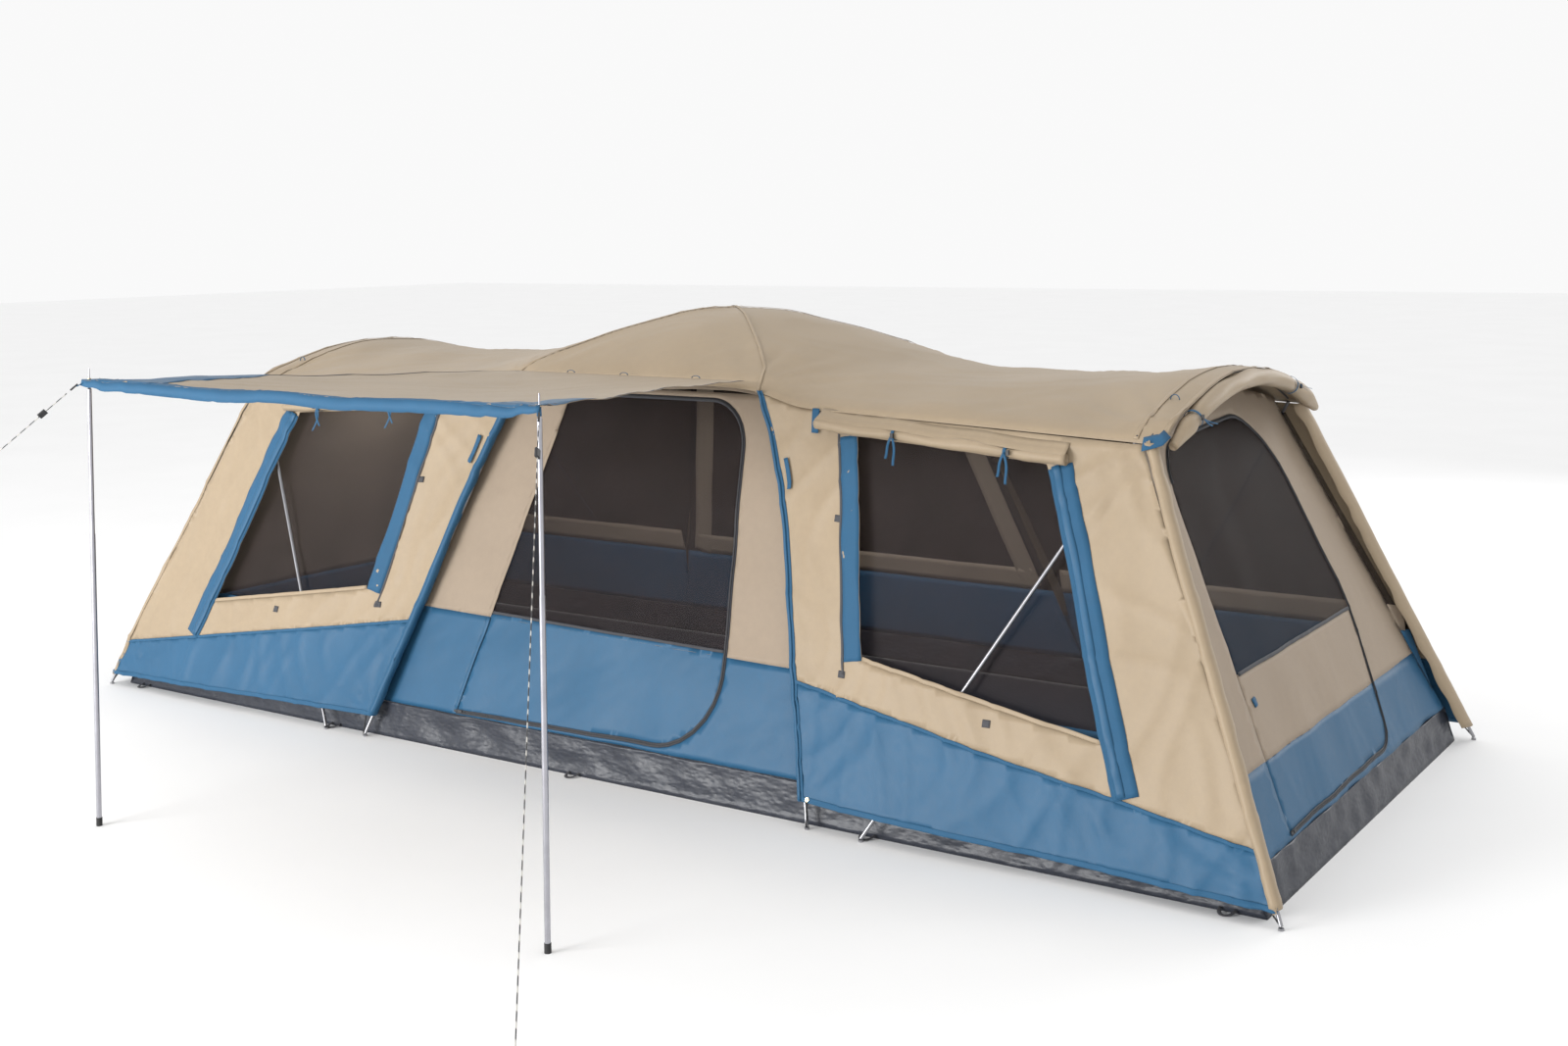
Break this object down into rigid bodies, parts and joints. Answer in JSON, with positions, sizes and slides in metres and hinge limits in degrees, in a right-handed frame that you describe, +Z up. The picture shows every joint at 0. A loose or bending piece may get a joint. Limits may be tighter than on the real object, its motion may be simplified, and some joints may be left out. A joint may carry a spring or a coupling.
{
  "type": "three room family dome tent with pole awning",
  "caption": "Long family dome tent with leaning fly walls, mesh doors, a tub floor, crossing poles and a front awning held up on guyed telescopic poles.",
  "frame": {"origin": "centre of the floor's underside", "axes": "+X along the tent towards the end door, -Y towards the awning, +Z up"},
  "size_m": [6.872, 6.2656, 2.1501],
  "materials": {
    "tan_fly": "matte",
    "blue_fly": "matte",
    "inner_cloth": "matte",
    "dark_mesh": "matte",
    "pe_tub": "gloss",
    "steel": "satin",
    "fibreglass": "satin",
    "brass": "satin",
    "black_rubber": "matte",
    "black_plastic": "satin",
    "guy_cord": "matte"
  },
  "bodies": {
    "tent": {"blue_trim": "blue_fly", "centre_arch_a": "fibreglass", "centre_arch_b": "fibreglass", "end_cover_roll": "tan_fly", "fly_back": "tan_fly", "fly_back_band": "blue_fly", "fly_band_left": "blue_fly", "fly_band_right": "blue_fly", "fly_end_left": "tan_fly", "fly_eyelets": "brass", "fly_inner_panel_left": "tan_fly", "fly_inner_panel_right": "tan_fly", "fly_outer_panel_left": "tan_fly", "fly_outer_panel_right": "tan_fly", "fly_roof_centre": "tan_fly", "fly_roof_left": "tan_fly", "fly_roof_right": "tan_fly", "fly_sill_left": "tan_fly", "fly_sill_right": "tan_fly", "guy_pegs": "steel", "guy_rope_left": "guy_cord", "guy_rope_right": "guy_cord", "inner_back": "inner_cloth", "inner_end_left": "inner_cloth", "inner_end_right": "inner_cloth", "inner_front_centre": "inner_cloth", "inner_front_left": "dark_mesh", "inner_front_right": "dark_mesh", "inner_roof": "inner_cloth", "left_arch_inner": "fibreglass", "left_arch_outer": "fibreglass", "pole_feet": "black_plastic", "right_arch_inner": "fibreglass", "right_arch_outer": "fibreglass", "steel_legs_centre": "steel", "steel_legs_left": "steel", "steel_legs_right": "steel", "toggles": "black_plastic", "tub_floor": "pe_tub", "tub_walls": "pe_tub", "window_cover_left": "tan_fly", "window_cover_right": "tan_fly"},
    "awning": {"awning_panel": "tan_fly", "awning_eyelets": "brass", "guy_hooks": "black_plastic", "guy_head_left": "guy_cord", "guy_head_right": "guy_cord"},
    "pole_top_left": {"pole_upper_left": "steel"},
    "pole_top_right": {"pole_upper_right": "steel"},
    "pole_base_left": {"pole_lower_left": "steel", "pole_cap_left": "black_rubber"},
    "pole_base_right": {"pole_lower_right": "steel", "pole_cap_right": "black_rubber"},
    "front_door_leaf": {"front_door": "dark_mesh"},
    "end_door_leaf": {"end_door": "dark_mesh"},
    "front_slider": {"front_zip_slider": "black_plastic"},
    "end_slider": {"end_zip_slider": "black_plastic"},
    "runner_left": {"guy_runner_left": "black_plastic"},
    "runner_right": {"guy_runner_right": "black_plastic"}
  },
  "joints": [
    {"name": "awning_hinge", "type": "hinge", "parent": "tent", "child": "awning", "pos_m": [0, -0.925, 1.862], "axis": [1, 0, 0], "range_deg": [0, 17.5]},
    {"name": "pole_swing_left", "type": "hinge", "parent": "awning", "child": "pole_top_left", "pos_m": [-1.297, -3.03, 1.957], "axis": [-1, 0, 0], "range_deg": [0, 17.5]},
    {"name": "pole_shorten_left", "type": "slide", "parent": "pole_top_left", "child": "pole_base_left", "axis": [0, 0, 1], "range_m": [0, 0.643]},
    {"name": "pole_swing_right", "type": "hinge", "parent": "awning", "child": "pole_top_right", "pos_m": [1.297, -3.03, 1.957], "axis": [-1, 0, 0], "range_deg": [0, 17.5]},
    {"name": "pole_shorten_right", "type": "slide", "parent": "pole_top_right", "child": "pole_base_right", "axis": [0, 0, 1], "range_m": [0, 0.643]},
    {"name": "front_door_hinge", "type": "hinge", "parent": "tent", "child": "front_door_leaf", "pos_m": [-0.8, -1.33617, 0.185], "axis": [0.19, 0.3202, 0.9281], "range_deg": [0, 22]},
    {"name": "end_door_hinge", "type": "hinge", "parent": "tent", "child": "end_door_leaf", "pos_m": [3.2995, -0.95, 0.19], "axis": [-0.4037, 0.1794, 0.8971], "range_deg": [0, 14]},
    {"name": "front_zip", "type": "slide", "parent": "tent", "child": "front_slider", "axis": [1, 0, 0], "range_m": [0, 1.15]},
    {"name": "end_zip", "type": "slide", "parent": "tent", "child": "end_slider", "axis": [0, 1, 0], "range_m": [0, 1.1]},
    {"name": "runner_slide_left", "type": "slide", "parent": "awning", "child": "runner_left", "axis": [-0.4772, -0.5906, -0.6508], "range_m": [-0.1, 0.45]},
    {"name": "runner_slide_right", "type": "slide", "parent": "awning", "child": "runner_right", "axis": [0.4772, -0.5906, -0.6508], "range_m": [-0.1, 0.45]}
  ],
  "couplings": [
    {"joint": "pole_swing_left", "follows": "awning_hinge", "ratio": 1},
    {"joint": "pole_shorten_left", "follows": "awning_hinge", "m_per_rad": 2.1052},
    {"joint": "pole_swing_right", "follows": "awning_hinge", "ratio": 1},
    {"joint": "pole_shorten_right", "follows": "awning_hinge", "m_per_rad": 2.1052}
  ]
}
